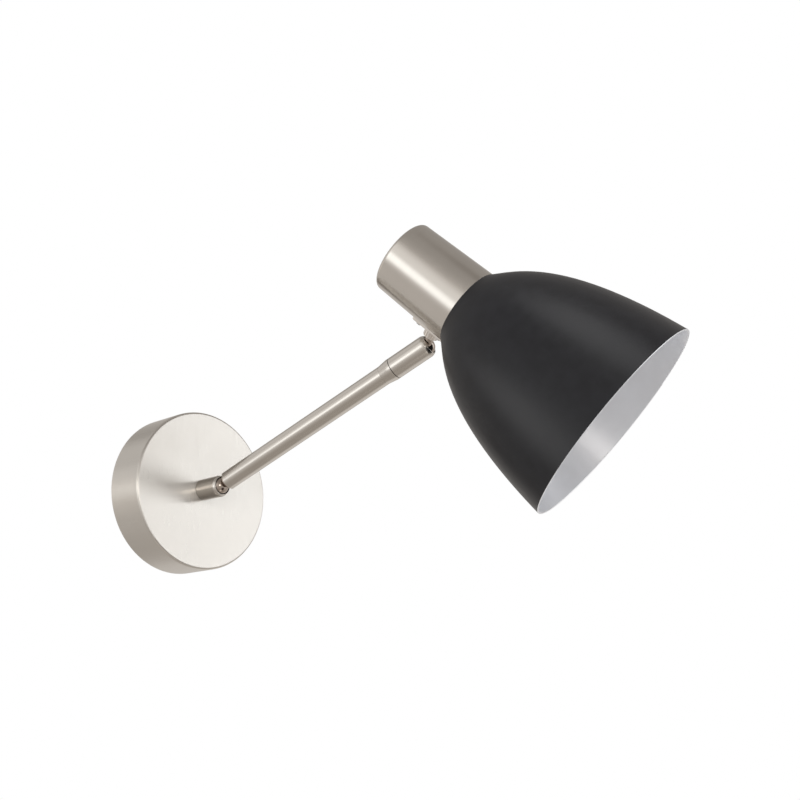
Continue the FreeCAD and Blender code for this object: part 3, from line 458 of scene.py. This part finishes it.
def smooth(piece):
    """Even shading over a node's curved faces, with its real edges kept sharp.

    The wall plate's normals go by area, which keeps its wide face flat.
    """
    for polygon in piece.data.polygons:
        polygon.use_smooth = True
    weld = piece.modifiers.new("weld", "WELD")
    weld.merge_threshold = WELD_DISTANCE
    split = piece.modifiers.new("split", "EDGE_SPLIT")
    split.split_angle = SHARP_ANGLE
    split.use_edge_sharp = False
    even = piece.modifiers.new("even", "WEIGHTED_NORMAL")
    even.mode = "FACE_AREA" if piece == nodes["wall_plate"] else "CORNER_ANGLE"


# ---------------------------------------------------------------- studio
# How the studio's grey changes with a direction's height: where it starts, ends, and to what.
STUDIO_BANDS = (
    (0.25, 0.8, STUDIO_TOP),
    (-0.45, -0.9, STUDIO_BOTTOM),
)

# What the polished and brushed metal sees round the lamp: direction, half widths in degrees
# where a card is full and where it has faded out, and colour. A later card covers an earlier.
CARDS = (
    ("behind left", towards(-146, 0), 4.0, 22.0, (0.85, 0.79, 0.73)),
    ("behind upper left", towards(-145, 34), 10.0, 32.0, (0.74, 0.71, 0.68)),
    ("low right", towards(112, -38), 8.0, 30.0, (0.80, 0.76, 0.72)),
    ("front", towards(*PLATE_MIRROR), 14.0, 34.0, (1.66, 1.67, 1.68)),
    ("high front", towards(12, 44), 8.0, 26.0, (0.16, 0.13, 0.11)),
    ("low front", towards(14, -38), 8.0, 22.0, (0.05, 0.035, 0.03)),
    ("floor", towards(-6, -64), 5.0, 15.0, (1.15, 1.08, 1.00)),
    ("left front", towards(-36, 2), 5.0, 13.0, (3.6, 3.4, 3.2)),
    ("left wash", towards(-92, 6), 8.0, 38.0, (1.04, 1.01, 0.98)),
    ("left", towards(-98, -5), 4.0, 15.0, (1.85, 1.86, 1.84)),
    ("behind", towards(171, -14), 6.0, 15.0, (0.17, 0.145, 0.125)),
)


def soft_step(tree, value, start, end):
    """0 before the start and 1 past the end, with an eased rise between."""
    node = tree.nodes.new("ShaderNodeMapRange")
    node.interpolation_type = "SMOOTHSTEP"
    node.inputs["From Min"].default_value = start
    node.inputs["From Max"].default_value = end
    tree.links.new(value, node.inputs["Value"])
    return node.outputs["Result"]


def studio_colour(tree):
    """The pale studio with its soft cards, by direction."""
    direction = tree.nodes.new("ShaderNodeTexCoord").outputs["Generated"]
    split = tree.nodes.new("ShaderNodeSeparateXYZ")
    tree.links.new(direction, split.inputs["Vector"])
    colour = STUDIO_GREY
    for start, end, end_colour in STUDIO_BANDS:
        rise = soft_step(tree, split.outputs["Z"], start, end)
        colour = mix_colours(tree, rise, colour, end_colour)
    for _, aim, full, faded, card_colour in CARDS:
        near = tree.nodes.new("ShaderNodeVectorMath")
        near.operation = "DOT_PRODUCT"
        near.inputs[1].default_value = aim
        tree.links.new(direction, near.inputs[0])
        card = soft_step(tree, near.outputs["Value"], math.cos(math.radians(faded)),
                         math.cos(math.radians(full)))
        colour = mix_colours(tree, card, colour, card_colour)
    return colour


def background(tree, colour, strength=1.0):
    """Light from all round; colour is three numbers or another node's output."""
    node = tree.nodes.new("ShaderNodeBackground")
    node.inputs["Strength"].default_value = strength
    feed(tree, node.inputs["Color"], colour)
    return node.outputs["Background"]


def either(tree, factor, first, second):
    """The first light where the factor is 0, and the second where it is 1."""
    node = tree.nodes.new("ShaderNodeMixShader")
    for socket, value in zip(node.inputs, (factor, first, second)):
        tree.links.new(value, socket)
    return node.outputs["Shader"]


def make_world():
    """White to the camera; a pale studio with soft cards to the metal; even light otherwise."""
    world = bpy.data.worlds.new("studio")
    bpy.context.scene.world = world
    world.use_nodes = True
    tree = world.node_tree
    tree.nodes.clear()
    path = tree.nodes.new("ShaderNodeLightPath")
    seen = tree.nodes.new("ShaderNodeMath")
    seen.operation = "MAXIMUM"
    tree.links.new(path.outputs["Is Camera Ray"], seen.inputs[0])
    tree.links.new(path.outputs["Is Transmission Ray"], seen.inputs[1])
    even = background(tree, WHITE, AMBIENT_LEVEL)
    studio = background(tree, studio_colour(tree))
    unseen = either(tree, path.outputs["Is Glossy Ray"], even, studio)
    shown = either(tree, seen.outputs["Value"], unseen, background(tree, WHITE))
    tree.links.new(shown, tree.nodes.new("ShaderNodeOutputWorld").inputs["Surface"])


def make_floor():
    """A plain pale floor, well below the lamp, that takes its shadow."""
    half = FLOOR_SIZE / 2
    mesh = bpy.data.meshes.new("floor")
    corners = [(-half, -half, 0), (half, -half, 0), (half, half, 0), (-half, half, 0)]
    mesh.from_pydata(corners, [], [(0, 1, 2, 3)])
    floor = bpy.data.objects.new("floor", mesh)
    floor.location.z = -FLOOR_DROP
    bpy.context.scene.collection.objects.link(floor)
    material = bpy.data.materials.new("floor")
    material.use_nodes = True
    shader = material.node_tree.nodes["Principled BSDF"]
    shader.inputs["Base Color"].default_value = FLOOR_COLOUR + (1,)
    shader.inputs["Roughness"].default_value = FLOOR_ROUGHNESS
    mesh.materials.append(material)
    floor.visible_glossy = False


def soft_lamp(name, place, target, size, power, shape="SQUARE", only=None):
    """A soft lamp aimed at a point; with only, it lights and shows in that one CAD node."""
    light = bpy.data.lights.new(name, "AREA")
    light.shape = shape
    light.size = size
    light.energy = power
    lamp = bpy.data.objects.new(name, light)
    lamp.location = place
    lamp.rotation_mode = "QUATERNION"
    lamp.rotation_quaternion = (place - target).to_track_quat("Z", "Y")
    bpy.context.scene.collection.objects.link(lamp)
    if only:
        group = bpy.data.collections.new(name + "_lights")
        group.objects.link(nodes[only])
        lamp.light_linking.receiver_collection = group
    else:
        lamp.visible_glossy = False


def make_lamps():
    """One soft key for form, and soft lamps that light the lacquer or the wall plate alone."""
    low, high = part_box("shade")
    middle = (low + high) / 2
    plate = Vector((0, 0, 0))
    soft_lamp("plate_fill", middle - towards(*PLATE_MIRROR) * FILL_DISTANCE, plate,
              size=0.11, power=0.032, shape="DISK", only="wall_plate")
    soft_lamp("key", middle + towards(-35, 55) * KEY_DISTANCE, middle, size=1.2, power=14.0)
    soft_lamp("sheen_upper", middle + towards(-46, 54) * SHEEN_DISTANCE, middle,
              SHEEN_SIZE, power=1.8, only="shade")
    soft_lamp("sheen_lower", middle + towards(-122, -18) * SHEEN_DISTANCE, middle,
              SHEEN_SIZE, power=1.7, only="shade")


def make_camera():
    """The photograph's camera, tilted up, with no roll and no shift."""
    data = bpy.data.cameras.new("camera")
    data.lens = CAMERA_LENS
    data.sensor_width = CAMERA_SENSOR
    data.clip_start = CAMERA_NEAREST
    data.clip_end = CAMERA_FARTHEST
    camera = bpy.data.objects.new("camera", data)
    camera.location = CAMERA_PLACE
    camera.rotation_mode = "XYZ"
    camera.rotation_euler = (math.pi / 2 + CAMERA_ELEVATION, 0, -CAMERA_AZIMUTH)
    bpy.context.scene.collection.objects.link(camera)
    bpy.context.scene.camera = camera


def main():
    dress_all()
    for piece in nodes.values():
        smooth(piece)
    make_world()
    make_floor()
    make_lamps()
    make_camera()
    bpy.context.scene.view_settings.view_transform = "Standard"


main()
